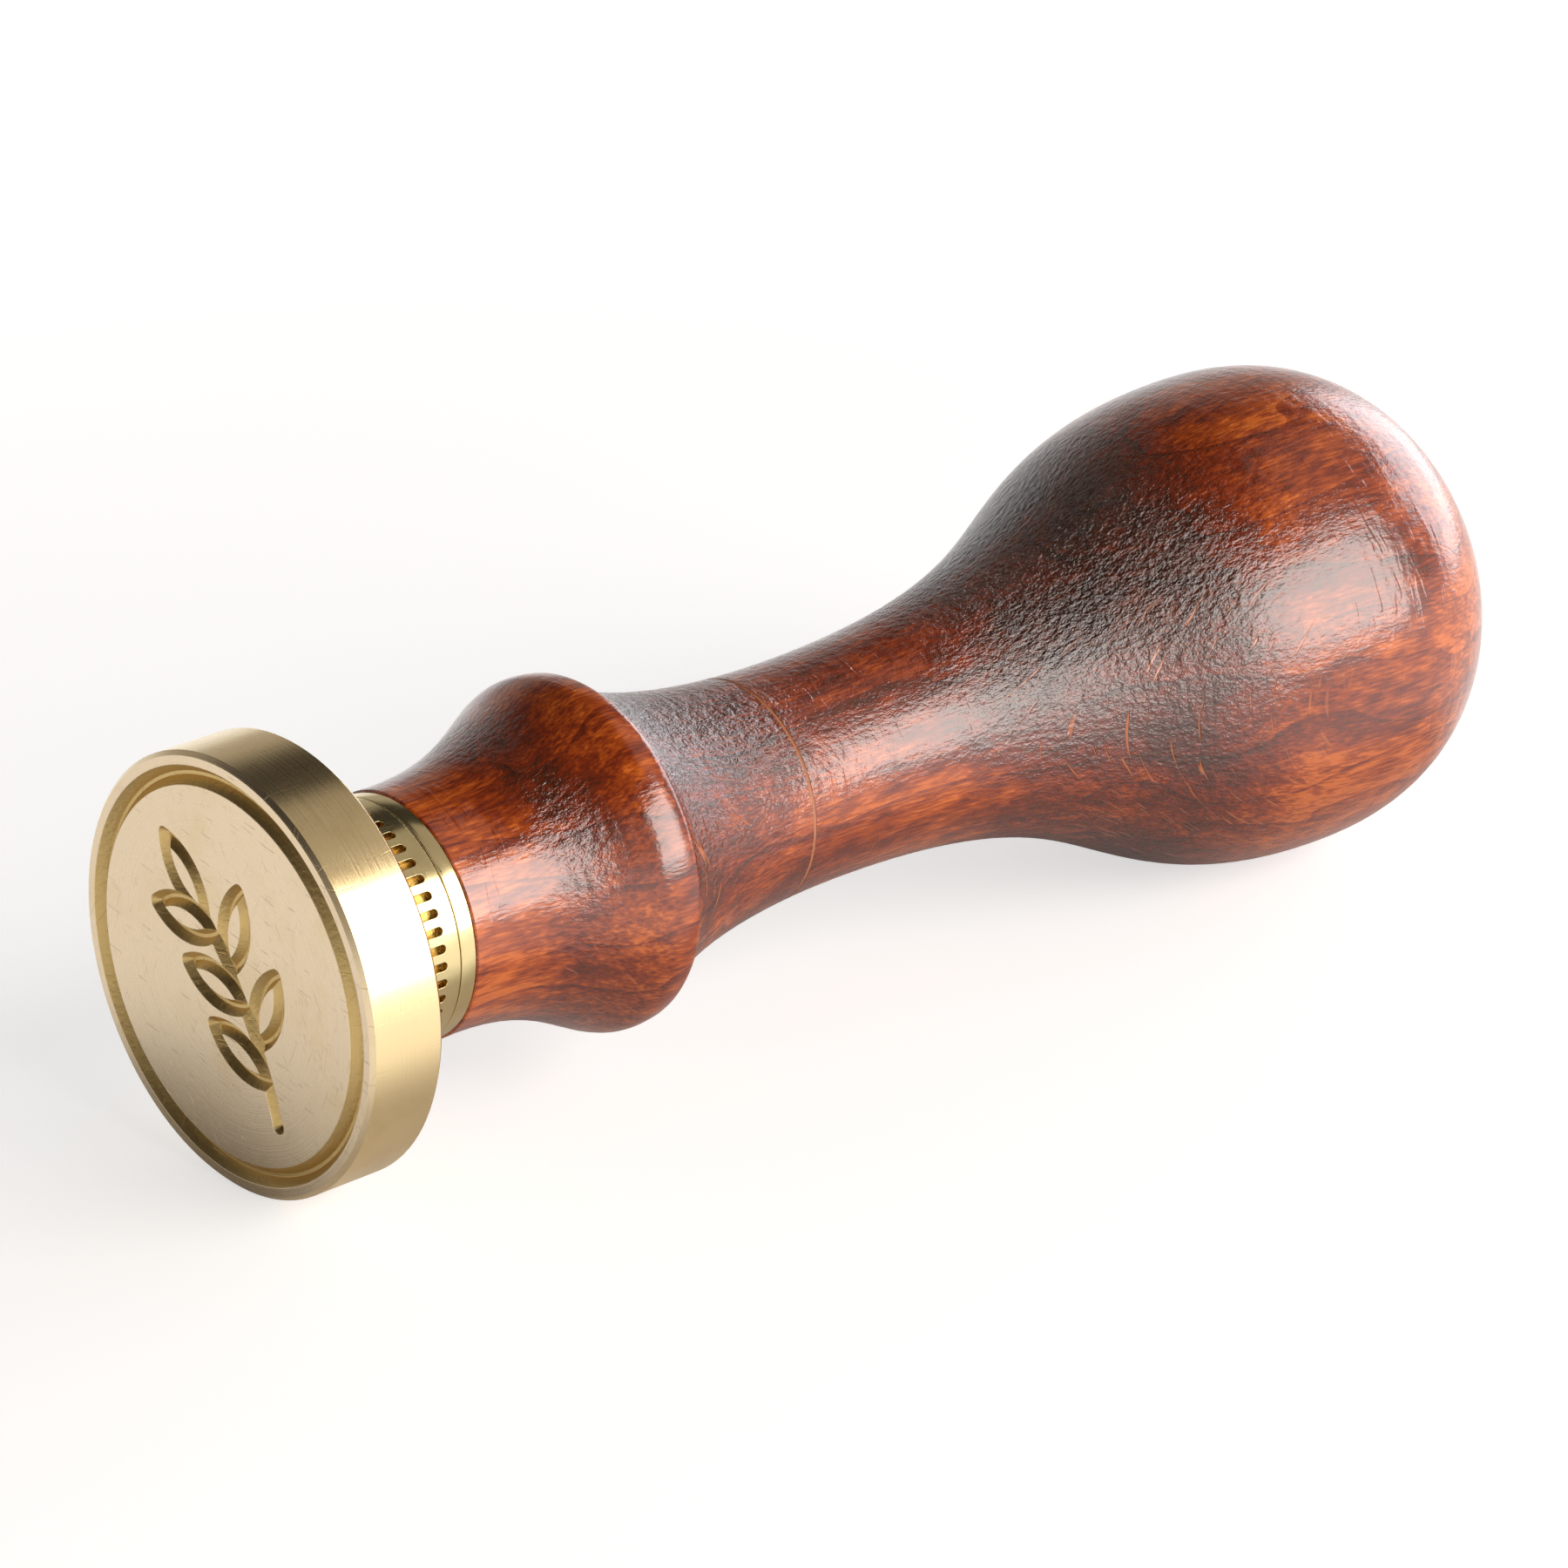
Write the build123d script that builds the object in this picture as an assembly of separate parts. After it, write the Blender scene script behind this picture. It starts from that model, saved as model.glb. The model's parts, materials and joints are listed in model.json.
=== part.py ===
from build123d import *
import os
from math import atan2, degrees, radians, tan

# Wax seal stamp, in millimetres. Every piece is drawn on one axis, the stamp's own, with Z = 0 on the
# engraved face and +Z towards the grip. At the end the whole stamp is laid on its side on the table.

# Die disc: the engraved brass disc that meets the wax.
die_diameter = 25.0
die_thickness = 4.8
die_edge_chamfer = 0.25
rim_land = 0.5

# Engraving cutter: a pointed tool with a small flat tip, used for the border and for the motif.
cutter_tip = 0.2
cutter_half_angle = 40.0
cutter_overrun = 0.2
border_depth = 0.55
motif_depth = 0.45

# Motif: a sprig with a bowed stem, leaves on alternate sides and one leaf at the tip.
stem_length = 11.8
stem_bow = 0.7
stem_foot = 8.4
side_leaf_count = 5
first_leaf = 2.4
tip_leaf_gap = 1.0
leaf_length = 5.0
leaf_width = 1.9
leaf_angle = 48.0
sprig_turn = 62.0

# Hub: turned brass, reeded for the fingers, tapped for the stud, with a spigot that sits in the disc.
neck_diameter = 14.0
hub_length = 5.6
plain_band = 0.95
reed_count = 44
reed_width = 0.5
reed_depth = 0.45
spigot_diameter = 10.0
spigot_length = 3.0
bore_countersink = 0.5
edge_break = 0.06

# Collar washer: the thin brass ring between the hub and the wood.
collar_thickness = 1.0
collar_clearance = 0.2

# Stud: a hanger bolt. Its threads are drawn as plain cylinders at the outside of the thread.
thread_diameter = 7.0
thread_engagement = 7.0
thread_lead_in = 0.7
wood_screw_diameter = 6.0
wood_screw_length = 22.0
wood_screw_point = 5.0

# Clearances, all on the radius: between threads, and in seats that are pressed or bonded.
thread_clearance = 0.06
seat_clearance = 0.02
# The hairline gap on each side of the collar washer.
joint_gap = 0.03

# Handle: one turned piece of beech. Its lengths follow on from one another, from the brass end.
wood_end_diameter = 14.2
wood_edge_break = 0.08
flare_length = 12.05
flare_dip = 0.3
bead_diameter = 20.45
bead_fall_length = 1.95
bead_fall = 1.13
bead_slope = 0.54
cove_length = 14.8
waist_diameter = 12.95
swell_length = 35.4
belly_diameter = 29.0
dome_length = 12.8
score_from_bead = 12.5
score_width = 0.25
score_depth = 0.15
drill_point_height = 1.8

# How full each curve of the handle is: the reach of its two control points, as a share of its own span.
flare_reach = (0.64, 0.16)
bead_reach = (0.95, 0.5)
cove_reach = (0.245, 0.355)
swell_reach = (0.65, 0.43)
dome_reach = (0.72, 0.59)

# Stations along the axis, worked out from the sizes above.
hub_end = die_thickness + hub_length
collar_start = hub_end + joint_gap
collar_end = collar_start + collar_thickness
wood_start = collar_end + joint_gap
bead_crest = wood_start + flare_length
cove_start = bead_crest + bead_fall_length
waist = cove_start + cove_length
belly = waist + swell_length
grip_end = belly + dome_length


def turned(outline):
    """Solid turned on the stamp's axis from its closed half outline, drawn as (radius, station)."""
    return revolve(Plane.XZ * make_face(outline), Axis.Z)


def turned_polygon(*corners):
    """Solid turned from a half outline of straight lines."""
    return turned(Polyline(*corners, close=True))


def cut_half_width(depth):
    """Half the width, at the surface, of a groove that the engraving cutter makes at this depth."""
    return cutter_tip / 2 + depth * tan(radians(cutter_half_angle))


def groove(arc):
    """The cut that the engraving cutter leaves along an arc on the face."""
    half_top = cut_half_width(motif_depth + cutter_overrun)
    section = Polyline(
        (-cutter_overrun, -half_top),
        (-cutter_overrun, half_top),
        (motif_depth, cutter_tip / 2),
        (motif_depth, -cutter_tip / 2),
        close=True,
    )
    across = Plane(arc @ 0, x_dir=(0, 0, 1), z_dir=arc % 0)
    return sweep(across * make_face(section), path=arc)


def plunge(point):
    """The round end of an engraved line, where the cutter goes in or comes out."""
    half_top = cut_half_width(motif_depth + cutter_overrun)
    cone = Cone(half_top, cutter_tip / 2, motif_depth + cutter_overrun)
    return Pos(point.X, point.Y, (motif_depth - cutter_overrun) / 2) * cone


def leaf(foot, heading):
    """The outline of one leaf: two arcs from its foot to its tip."""
    tip = foot + heading * leaf_length
    cuts = [groove(SagittaArc(foot, tip, bow)) for bow in (leaf_width / 2, -leaf_width / 2)]
    return cuts + [plunge(foot), plunge(tip)]


def sprig():
    """All the cuts of the motif, turned to where it stands on the face."""
    stem = SagittaArc((0, -stem_foot), (0, stem_length - stem_foot), stem_bow)
    cuts = [groove(stem), plunge(stem @ 0)]
    leaf_spacing = (stem.length - first_leaf - tip_leaf_gap) / (side_leaf_count - 1)
    for index in range(side_leaf_count):
        place = (first_leaf + index * leaf_spacing) / stem.length
        side = 1 if index % 2 else -1
        cuts += leaf(stem @ place, (stem % place).rotate(Axis.Z, side * leaf_angle))
    cuts += leaf(stem @ 1, stem % 1)
    return [Rot(0, 0, sprig_turn) * cut for cut in cuts]


def die_disc():
    """Brass disc with the engraved border and motif in front and the hub's seat behind."""
    rim = die_diameter / 2
    border_outer = rim - die_edge_chamfer - rim_land
    border_middle = border_outer - cut_half_width(border_depth)
    border_inner = border_middle - cut_half_width(border_depth)
    seat = spigot_diameter / 2 + seat_clearance
    seat_floor = die_thickness - spigot_length - seat_clearance
    disc = turned_polygon(
        (0, 0),
        (border_inner, 0),
        (border_middle - cutter_tip / 2, border_depth),
        (border_middle + cutter_tip / 2, border_depth),
        (border_outer, 0),
        (rim - die_edge_chamfer, 0),
        (rim, die_edge_chamfer),
        (rim, die_thickness - die_edge_chamfer),
        (rim - die_edge_chamfer, die_thickness),
        (seat, die_thickness),
        (seat, seat_floor),
        (0, seat_floor),
    )
    return disc - sprig()


def reed():
    """One notch of the reeding: it starts at the disc and has a round end towards the handle."""
    round_centre = hub_end - plain_band - reed_width / 2
    straight = round_centre - die_thickness + cutter_overrun
    shape = Pos(0, round_centre - straight / 2) * Rectangle(reed_width, straight)
    shape += Pos(0, round_centre) * Circle(reed_width / 2)
    floor = Plane.YZ.offset(neck_diameter / 2 - reed_depth)
    return extrude(floor * shape, reed_depth + cutter_overrun)


def threaded_hub():
    """Reeded brass hub with its bore for the stud and its spigot for the disc."""
    bore = thread_diameter / 2 + thread_clearance
    body = turned_polygon(
        (bore, die_thickness - spigot_length),
        (spigot_diameter / 2, die_thickness - spigot_length),
        (spigot_diameter / 2, die_thickness),
        (neck_diameter / 2, die_thickness),
        (neck_diameter / 2, hub_end - edge_break),
        (neck_diameter / 2 - edge_break, hub_end),
        (bore + bore_countersink, hub_end),
        (bore, hub_end - bore_countersink),
    )
    notch = reed()
    return body - [Rot(0, 0, index * 360 / reed_count) * notch for index in range(reed_count)]


def collar_washer():
    """Thin brass ring that slides on the stud between the hub and the wood."""
    hole = thread_diameter / 2 + collar_clearance
    return turned_polygon(
        (hole, collar_start),
        (neck_diameter / 2 - edge_break, collar_start),
        (neck_diameter / 2, collar_start + edge_break),
        (neck_diameter / 2, collar_end - edge_break),
        (neck_diameter / 2 - edge_break, collar_end),
        (hole, collar_end),
    )


def stud():
    """Hanger bolt: machine end in the hub, shoulder on the wood, screw end in the handle."""
    machine = thread_diameter / 2
    screw = wood_screw_diameter / 2
    stud_end = hub_end - thread_engagement
    screw_tip = wood_start + wood_screw_length
    return turned_polygon(
        (0, stud_end),
        (machine - thread_lead_in, stud_end),
        (machine, stud_end + thread_lead_in),
        (machine, wood_start),
        (screw, wood_start),
        (screw, screw_tip - wood_screw_point),
        (0, screw_tip),
    )


def span_curve(start, end, reach, start_slope=0.0, end_slope=0.0):
    """Curve between two points of the handle's outline, leaving and arriving at the given slopes."""
    span = end[1] - start[1]
    leave = (start[0] + start_slope * reach[0] * span, start[1] + reach[0] * span)
    arrive = (end[0] - end_slope * reach[1] * span, end[1] - reach[1] * span)
    return Bezier(start, leave, arrive, end)


# The curves of the handle's outline as (radius, station), from the brass end to the tip of the dome.
wood_end_point = (wood_end_diameter / 2, wood_start + wood_edge_break)
bead_point = (bead_diameter / 2, bead_crest)
cove_point = (bead_diameter / 2 - bead_fall, cove_start)
waist_point = (waist_diameter / 2, waist)
belly_point = (belly_diameter / 2, belly)
dome_point = (0, grip_end)
flare_slope = -flare_dip / (flare_reach[0] * flare_length)
flare_curve = span_curve(wood_end_point, bead_point, flare_reach, start_slope=flare_slope)
bead_curve = span_curve(bead_point, cove_point, bead_reach, end_slope=-bead_slope)
cove_curve = span_curve(cove_point, waist_point, cove_reach, start_slope=-bead_slope)
swell_curve = span_curve(waist_point, belly_point, swell_reach)
dome_shoulder = (belly_diameter / 2, belly + dome_reach[0] * dome_length)
dome_brow = (dome_reach[1] * belly_diameter / 2, grip_end)
dome_curve = Bezier(belly_point, dome_shoulder, dome_brow, dome_point)


def neck_radius(station):
    """Radius of the wood at a station between the bead and the waist."""
    low = 0.0
    high = 1.0
    for _ in range(40):
        middle = (low + high) / 2
        if (cove_curve @ middle).Y < station:
            low = middle
        else:
            high = middle
    return (cove_curve @ low).X


def handle():
    """Turned handle with the scored line on its neck and the hole that the stud is driven into."""
    hole = wood_screw_diameter / 2 + seat_clearance
    hole_floor = wood_start + wood_screw_length
    ends = Polyline(
        dome_point,
        (0, hole_floor + drill_point_height),
        (hole, hole_floor),
        (hole, wood_start),
        (wood_end_diameter / 2 - wood_edge_break, wood_start),
        wood_end_point,
    )
    body = turned([flare_curve, bead_curve, cove_curve, swell_curve, dome_curve, ends])
    score = bead_crest + score_from_bead
    surface = neck_radius(score)
    scored_line = turned_polygon(
        (surface - score_depth, score),
        (surface + score_depth, score - score_width),
        (surface + score_depth, score + score_width),
    )
    return body - scored_line


def rest_tilt():
    """Angle of the axis to the table when the disc's front edge and the grip's belly both touch it."""
    samples = [swell_curve @ (index / 800) for index in range(801)]
    edge = die_diameter / 2
    return max(degrees(atan2(point.X - edge, point.Y - die_edge_chamfer)) for point in samples)


pieces = {
    "die_disc": die_disc(),
    "threaded_hub": threaded_hub(),
    "collar_washer": collar_washer(),
    "stud": stud(),
    "handle": handle(),
}

# Lay the stamp down along X, grip towards +X, with the middle of its footprint at the origin.
tipped = Rot(0, 90 - rest_tilt(), 0)
box = Compound(children=[tipped * piece for piece in pieces.values()]).bounding_box()
lay_down = Pos(-box.center().X, 0, -box.min.Z) * tipped

os.makedirs("parts", exist_ok=True)
for name, piece in pieces.items():
    export_step(lay_down * piece, f"parts/{name}.step")
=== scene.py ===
# %% [markdown]
# # A wax seal stamp, dressed in Blender
# The CAD model holds the stamp as five solids, lying on its side on a table: an engraved brass disc, a
# reeded brass hub, a thin brass collar, a steel stud and a turned wooden handle. It also says how they
# move. This lesson keeps those sizes and places and adds what the eye sees: lacquered wood, turned brass,
# a real thread, and a photographer's light. Everything is in metres, in the CAD model's own frame.

# %% Load the frame
import json
import math
import bmesh
import bpy
import numpy as np
from mathutils import Matrix, Vector

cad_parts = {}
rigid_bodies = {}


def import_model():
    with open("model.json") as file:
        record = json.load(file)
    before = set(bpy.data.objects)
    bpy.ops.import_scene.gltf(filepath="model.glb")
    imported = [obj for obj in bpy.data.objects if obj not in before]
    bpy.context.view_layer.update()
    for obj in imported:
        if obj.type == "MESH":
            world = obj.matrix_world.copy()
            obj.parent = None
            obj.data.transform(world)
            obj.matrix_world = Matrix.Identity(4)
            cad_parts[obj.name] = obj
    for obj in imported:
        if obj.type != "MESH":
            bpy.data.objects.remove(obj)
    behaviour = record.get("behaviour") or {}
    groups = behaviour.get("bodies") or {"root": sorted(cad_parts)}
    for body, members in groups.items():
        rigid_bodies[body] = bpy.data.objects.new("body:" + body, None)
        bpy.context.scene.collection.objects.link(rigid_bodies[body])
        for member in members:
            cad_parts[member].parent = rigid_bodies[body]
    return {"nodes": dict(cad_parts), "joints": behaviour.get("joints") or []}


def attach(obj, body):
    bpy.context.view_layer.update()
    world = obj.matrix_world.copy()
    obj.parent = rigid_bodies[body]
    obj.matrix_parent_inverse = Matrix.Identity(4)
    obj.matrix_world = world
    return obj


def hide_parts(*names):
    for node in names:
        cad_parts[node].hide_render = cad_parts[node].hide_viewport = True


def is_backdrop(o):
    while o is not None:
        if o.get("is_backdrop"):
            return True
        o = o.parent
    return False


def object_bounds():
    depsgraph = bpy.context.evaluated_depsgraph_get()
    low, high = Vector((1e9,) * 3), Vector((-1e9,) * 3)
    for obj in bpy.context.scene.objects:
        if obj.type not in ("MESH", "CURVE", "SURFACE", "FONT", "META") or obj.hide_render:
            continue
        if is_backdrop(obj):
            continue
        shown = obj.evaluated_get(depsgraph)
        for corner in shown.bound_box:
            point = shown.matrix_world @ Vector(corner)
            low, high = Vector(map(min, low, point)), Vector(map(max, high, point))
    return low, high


for leftover in list(bpy.data.objects):
    bpy.data.objects.remove(leftover)
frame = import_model()
cad_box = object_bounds()
MM = 0.001
# Two lengths that differ by less than this are the same.
SAME = 0.001 * MM

# %% [markdown]
# ## The stamp's own axis
# Every piece of this stamp was turned on a lathe, so one line explains all of them. The frame gives that
# line: the head unscrews about it. From a point on it and its direction, any vertex can be given a
# station (how far it is from the engraved face) and a radius, which are the two numbers a turner thinks
# in.

# %% Find the axis
head_turn = next(joint for joint in frame["joints"] if joint["name"] == "head_turn")
die_centre = Vector(head_turn["pos_m"])
along = -Vector(head_turn["axis"]).normalized()
# The axis has no part along Y, so Y points to the stamp's side.
side = Vector((0, 1, 0))
lift = along.cross(side)


def on_lathe(node):
    """Stations and radii of a CAD node's vertices, measured on the stamp's axis."""
    points = np.array([vertex.co for vertex in frame["nodes"][node].data.vertices]) - np.array(die_centre)
    stations = points @ np.array(along)
    radii = np.linalg.norm(points - np.outer(stations, np.array(along)), axis=1)
    return stations, radii


die_radius = on_lathe("die_disc")[1].max()
hub_radius = on_lathe("threaded_hub")[1].max()
print(f"the axis leaves the die at {tuple(round(c / MM, 2) for c in die_centre)} mm;",
      f"die radius {die_radius / MM:.2f} mm, hub radius {hub_radius / MM:.2f} mm")

# %% [markdown]
# ## The camera
# A photograph fixes the camera if one circle in it is known. Here the rim of the disc is that circle: its
# width gives the distance, its flattening gives the angle between the axis and the view, and the way the
# handle narrows with distance gives the focal length. Those numbers are kept in photograph pixels.

# %% Place the camera
PHOTO_SIDE_PX = 1800
FOCAL_PX = 8000
DIE_CENTRE_PX = (259.5, 1122.1)
DIE_DISTANCE = 369.8 * MM
CAMERA_ELEVATION = math.radians(22.0)
CAMERA_HEADING = math.radians(41.43)
SENSOR_MM = 36
NEAREST_SEEN = 10 * MM

level = Vector((math.sin(CAMERA_HEADING), math.cos(CAMERA_HEADING), 0))
view_right = Vector((math.cos(CAMERA_HEADING), -math.sin(CAMERA_HEADING), 0))
view_forward = level * math.cos(CAMERA_ELEVATION) - Vector((0, 0, math.sin(CAMERA_ELEVATION)))
view_up = view_right.cross(view_forward)
right_of_middle = (DIE_CENTRE_PX[0] - PHOTO_SIDE_PX / 2) / FOCAL_PX * DIE_DISTANCE
below_middle = (DIE_CENTRE_PX[1] - PHOTO_SIDE_PX / 2) / FOCAL_PX * DIE_DISTANCE
eye = die_centre - view_forward * DIE_DISTANCE - view_right * right_of_middle + view_up * below_middle

lens = bpy.data.cameras.new("photo_camera")
lens.sensor_width = SENSOR_MM
lens.lens = FOCAL_PX / PHOTO_SIDE_PX * SENSOR_MM
lens.clip_start = NEAREST_SEEN
camera = bpy.data.objects.new("photo_camera", lens)
camera.matrix_world = Matrix((
    (view_right.x, view_up.x, -view_forward.x, eye.x),
    (view_right.y, view_up.y, -view_forward.y, eye.y),
    (view_right.z, view_up.z, -view_forward.z, eye.z),
    (0, 0, 0, 1),
))
bpy.context.scene.collection.objects.link(camera)
bpy.context.scene.camera = camera
print(f"camera: {lens.lens:.0f} mm lens, {(eye - die_centre).length / MM:.0f} mm from the die")

# %% [markdown]
# ## Helpers for shaders
# Colours are written as hex values, the way a colour picker shows them, and Blender's shaders want linear
# light, so one function converts. One more function adds a node, sets it and links it, so that each
# material reads as a list of what it is made of. A third starts an empty material.

# %% Colours, nodes and materials
def colour(hex_code):
    """A colour picker's hex code as the linear RGBA that shaders use."""
    channels = [int(hex_code[i:i + 2], 16) / 255 for i in (0, 2, 4)]
    linear = [c / 12.92 if c <= 0.04045 else ((c + 0.055) / 1.055) ** 2.4 for c in channels]
    return (*linear, 1.0)


def add(tree, kind, links=None, values=None, stops=(), **settings):
    """Adds one shader node: its ramp's stops, settings and socket values, and the outputs that feed it."""
    node = tree.nodes.new(kind)
    for index, (position, hex_code) in enumerate(stops):
        ramp = node.color_ramp.elements
        stop = ramp[index] if index < len(ramp) else ramp.new(position)
        stop.position = position
        stop.color = colour(hex_code)
    for name, setting in settings.items():
        setattr(node, name, setting)
    for socket, value in (values or {}).items():
        node.inputs[socket].default_value = value
    for socket, output in (links or {}).items():
        tree.links.new(output, node.inputs[socket])
    return node


def new_material(name):
    """An empty material, its node tree and its output node, ready for a shader."""
    material = bpy.data.materials.new(name)
    material.use_nodes = True
    material.node_tree.nodes.clear()
    return material, material.node_tree, material.node_tree.nodes.new("ShaderNodeOutputMaterial")


print("a red-brown stain as linear light:", [round(c, 3) for c in colour("6B2A14")])

# %% [markdown]
# ## Lamps
# Gloss shows its surroundings, so the lamps are placed by what the stamp mirrors. The long highlight on
# the wood and the white band on the brass are one big softbox, to the right of the camera. The bright rim
# on the dome is a second, further round. The disc's wall turns olive where it mirrors a dim patch of
# ceiling. A picture of a studio could light the scene as well, but three lamps are easier to move and to
# understand. Each lamp's brightness is given as its radiance, where 1 looks as bright as white paper.

# %% Hang the lamps
stage_centre = (cad_box[0] + cad_box[1]) / 2


def soft_lamp(name, azimuth, elevation, distance, width, height, radiance, tint):
    """A rectangular lamp facing the stamp: azimuth in degrees from +X towards +Y, elevation from level."""
    turn = math.radians(azimuth)
    rise = math.radians(elevation)
    outwards = Vector((math.cos(turn) * math.cos(rise), math.sin(turn) * math.cos(rise), math.sin(rise)))
    data = bpy.data.lights.new(name, "AREA")
    data.shape = "RECTANGLE"
    data.size = width
    data.size_y = height
    data.energy = radiance * math.pi * width * height
    data.color = colour(tint)[:3]
    lamp = bpy.data.objects.new(name, data)
    lamp.location = stage_centre + outwards * distance
    lamp.rotation_euler = outwards.to_track_quat("Z", "Y").to_euler()
    lamp.visible_camera = False
    bpy.context.scene.collection.objects.link(lamp)
    return lamp


lamps = [
    soft_lamp("softbox", azimuth=-72, elevation=21.5, distance=0.8, width=0.86, height=0.62,
              radiance=5.6, tint="FFF8F3"),
    soft_lamp("rim_softbox", azimuth=5, elevation=16, distance=0.9, width=0.8, height=0.54,
              radiance=3.7, tint="F4F8FF"),
    soft_lamp("ceiling_patch", azimuth=-18, elevation=53, distance=1.0, width=0.8, height=0.5,
              radiance=0.38, tint="FFF6EC"),
]
print("lamps:", [f"{lamp.name} {lamp.data.energy:.1f} W" for lamp in lamps])

# %% [markdown]
# ## The room
# A photographer's room is a white sweep behind the table, grey walls above it and a dark ceiling. The
# world is painted that way by height alone, so that it looks the same from every side. The dark ceiling
# matters most: it is why the wood's top goes deep and the brass has contrast.

# %% Paint the room
SWEEP_LIGHT = 1.0
WALL_LIGHT = 0.45
CEILING_LIGHT = 0.04
# Heights are the sine of the elevation: 0 is level and 1 is straight up.
SWEEP_END = (0.1, 0.2)
WALL_END = (0.4, 0.62)

world = bpy.data.worlds.new("studio_room")
world.use_nodes = True
sky = world.node_tree
sky.nodes.clear()
direction = add(sky, "ShaderNodeTexCoord")
rise = add(sky, "ShaderNodeSeparateXYZ", {"Vector": direction.outputs["Generated"]}).outputs["Z"]
walls = add(sky, "ShaderNodeMapRange", {"Value": rise},
            {"From Min": WALL_END[0], "From Max": WALL_END[1],
             "To Min": WALL_LIGHT, "To Max": CEILING_LIGHT},
            interpolation_type="SMOOTHSTEP")
sweep = add(sky, "ShaderNodeMapRange", {"Value": rise},
            {"From Min": SWEEP_END[0], "From Max": SWEEP_END[1],
             "To Min": SWEEP_LIGHT - WALL_LIGHT, "To Max": 0.0},
            interpolation_type="SMOOTHSTEP")
room_light = add(sky, "ShaderNodeMath", {0: walls.outputs["Result"], 1: sweep.outputs["Result"]},
                 operation="ADD")
room_tone = add(sky, "ShaderNodeValToRGB", {"Fac": rise},
                stops=[(SWEEP_END[0], "FFFFFF"), (SWEEP_END[1], "FFF6EC")])
room = add(sky, "ShaderNodeBackground",
           {"Strength": room_light.outputs[0], "Color": room_tone.outputs["Color"]})
add(sky, "ShaderNodeOutputWorld", {"Surface": room.outputs["Background"]})
bpy.context.scene.world = world
bpy.context.scene.view_settings.view_transform = "Standard"
print("room:", SWEEP_LIGHT, "on the sweep,", WALL_LIGHT, "on the walls,", CEILING_LIGHT, "on the ceiling")

# %% [markdown]
# ## The paper
# The stamp lies on matt white paper. Lit paper alone would come out pale grey, so it also glows for the
# camera, which turns it white and still leaves the stamp's shadow. Polished brass and lacquer have to
# mirror a white paper too, so mirrored rays get a glow of their own. That one fades out beside the stamp,
# where real paper lies in its shade: without the fade, a milky haze would cover the underside of the
# wood.

# %% Make the paper
SHADE_REACH = 15 * MM
MIRROR_GLOW = (0.05, 0.8)
SEEN_NEAR, SEEN_FAR = 60 * MM, 300 * MM
SEEN_GLOW = (0.62, 1.0)

paper, tree, surface = new_material("paper_matt_white")
path = add(tree, "ShaderNodeLightPath")
mirrored = add(tree, "ShaderNodeMath",
               {0: path.outputs["Is Glossy Ray"], 1: path.outputs["Is Transmission Ray"]},
               operation="MAXIMUM")
spot = add(tree, "ShaderNodeNewGeometry")
# How far a point on the paper lies outside the stamp's box.
offset = add(tree, "ShaderNodeVectorMath", {0: spot.outputs["Position"]}, {1: tuple(stage_centre)},
             operation="SUBTRACT")
offset = add(tree, "ShaderNodeVectorMath", {0: offset.outputs[0]}, operation="ABSOLUTE")
offset = add(tree, "ShaderNodeVectorMath", {0: offset.outputs[0]}, {1: tuple(cad_box[1] - stage_centre)},
             operation="SUBTRACT")
offset = add(tree, "ShaderNodeVectorMath", {0: offset.outputs[0]}, {1: (0, 0, 0)}, operation="MAXIMUM")
away = add(tree, "ShaderNodeVectorMath", {0: offset.outputs[0]}, operation="LENGTH").outputs["Value"]
mirror_glow = add(tree, "ShaderNodeMapRange", {"Value": away},
                  {"From Max": SHADE_REACH, "To Min": MIRROR_GLOW[0], "To Max": MIRROR_GLOW[1]},
                  interpolation_type="SMOOTHSTEP")
mirror_glow = add(tree, "ShaderNodeMath", {0: mirrored.outputs[0], 1: mirror_glow.outputs["Result"]},
                  operation="MULTIPLY")
seen_glow = add(tree, "ShaderNodeMapRange", {"Value": away},
                {"From Min": SEEN_NEAR, "From Max": SEEN_FAR,
                 "To Min": SEEN_GLOW[0], "To Max": SEEN_GLOW[1]},
                interpolation_type="SMOOTHSTEP")
paper_glow = add(tree, "ShaderNodeMath",
                 {0: path.outputs["Is Camera Ray"], 1: seen_glow.outputs["Result"],
                  2: mirror_glow.outputs[0]},
                 operation="MULTIPLY_ADD")
matt = add(tree, "ShaderNodeBsdfDiffuse", values={"Color": colour("C6C5C3")})
shine = add(tree, "ShaderNodeEmission", {"Strength": paper_glow.outputs[0]})
both = add(tree, "ShaderNodeAddShader", {0: matt.outputs["BSDF"], 1: shine.outputs["Emission"]})
tree.links.new(both.outputs["Shader"], surface.inputs["Surface"])
print("mirrored rays see a glow of", MIRROR_GLOW[0], "beside the stamp and", MIRROR_GLOW[1], "away from it")

# %% Lay the paper
PAPER_RADIUS = 6.0
PAPER_SIDES = 96

bpy.ops.mesh.primitive_circle_add(vertices=PAPER_SIDES, radius=PAPER_RADIUS, fill_type="NGON",
                                  location=(0, 0, cad_box[0].z))
floor = bpy.context.object
floor.name = "floor"
floor.data.materials.append(paper)
floor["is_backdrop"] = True
print(f"floor at {floor.location.z / MM:.3f} mm, {2 * PAPER_RADIUS:.0f} m wide")

# %% [markdown]
# ## Turning a piece
# A turner copies an outline from a template and the lathe sweeps it round. The mesh is made the same way:
# rows of stations and radii become rings of vertices, and a shape function may then cut into each ring.
# Blender's Screw modifier could sweep an outline too, but it could not cut chisel marks or a thread.
# Rings that sit on the axis are merged to a single point, so that every turned piece is a closed solid.

# %% A lathe for meshes
SHARP_EDGE = math.radians(32)
MERGE_GAP = 0.0005 * MM


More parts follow.
